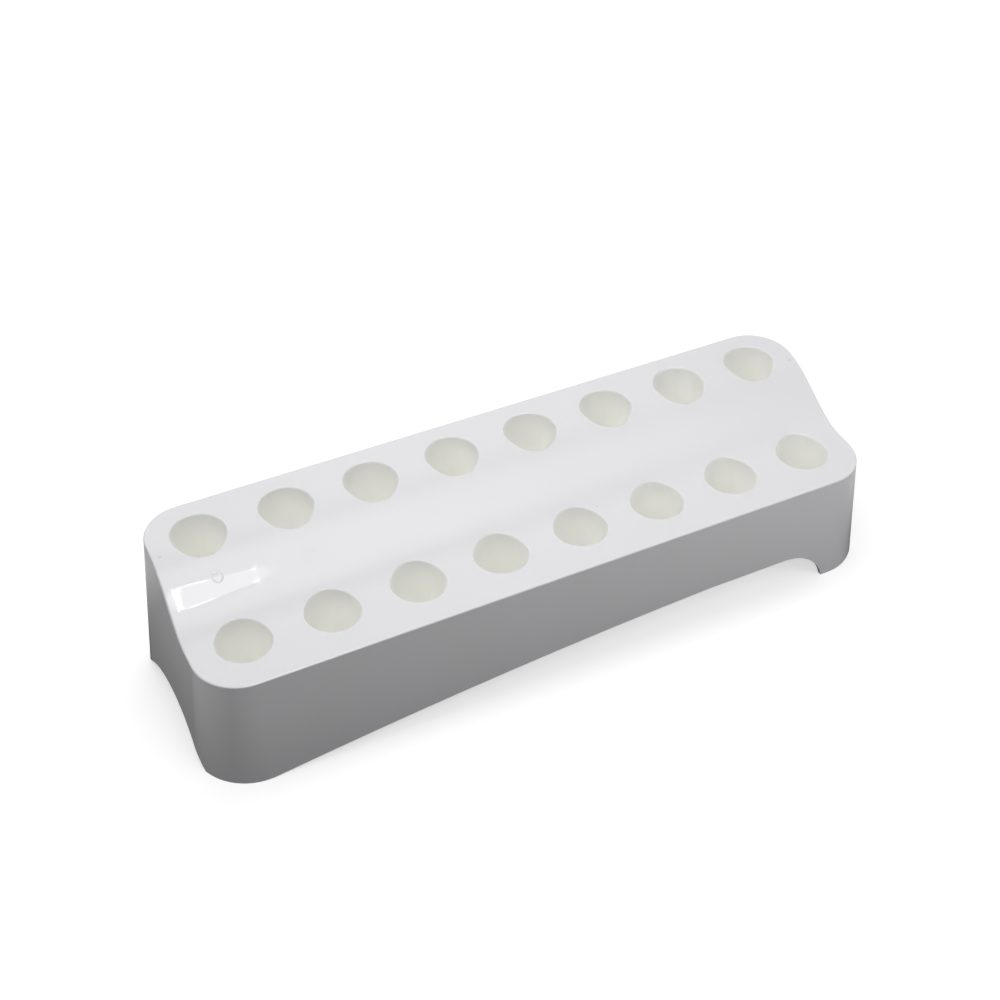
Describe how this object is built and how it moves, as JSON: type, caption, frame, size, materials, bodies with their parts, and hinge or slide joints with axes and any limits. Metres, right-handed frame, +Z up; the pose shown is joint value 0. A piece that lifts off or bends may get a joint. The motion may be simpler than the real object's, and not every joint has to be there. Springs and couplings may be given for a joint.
{
  "type": "microcentrifuge tube rack",
  "caption": "Two-tier bench rack for tubes: a white moulded shell with a low front deck, an S-shaped slope and a high back deck, with two rows of round closed wells",
  "frame": {"origin": "on the bench, in the middle of the rack's footprint", "axes": "+X along the rows of wells to the right, +Y from the low front row to the high back row, +Z up"},
  "size_m": [0.2442, 0.077, 0.0545],
  "materials": {
    "abs_white": "glossy white moulded ABS, slightly cool"
  },
  "bodies": {
    "root": {"rack_body": "abs_white"}
  },
  "joints": []
}
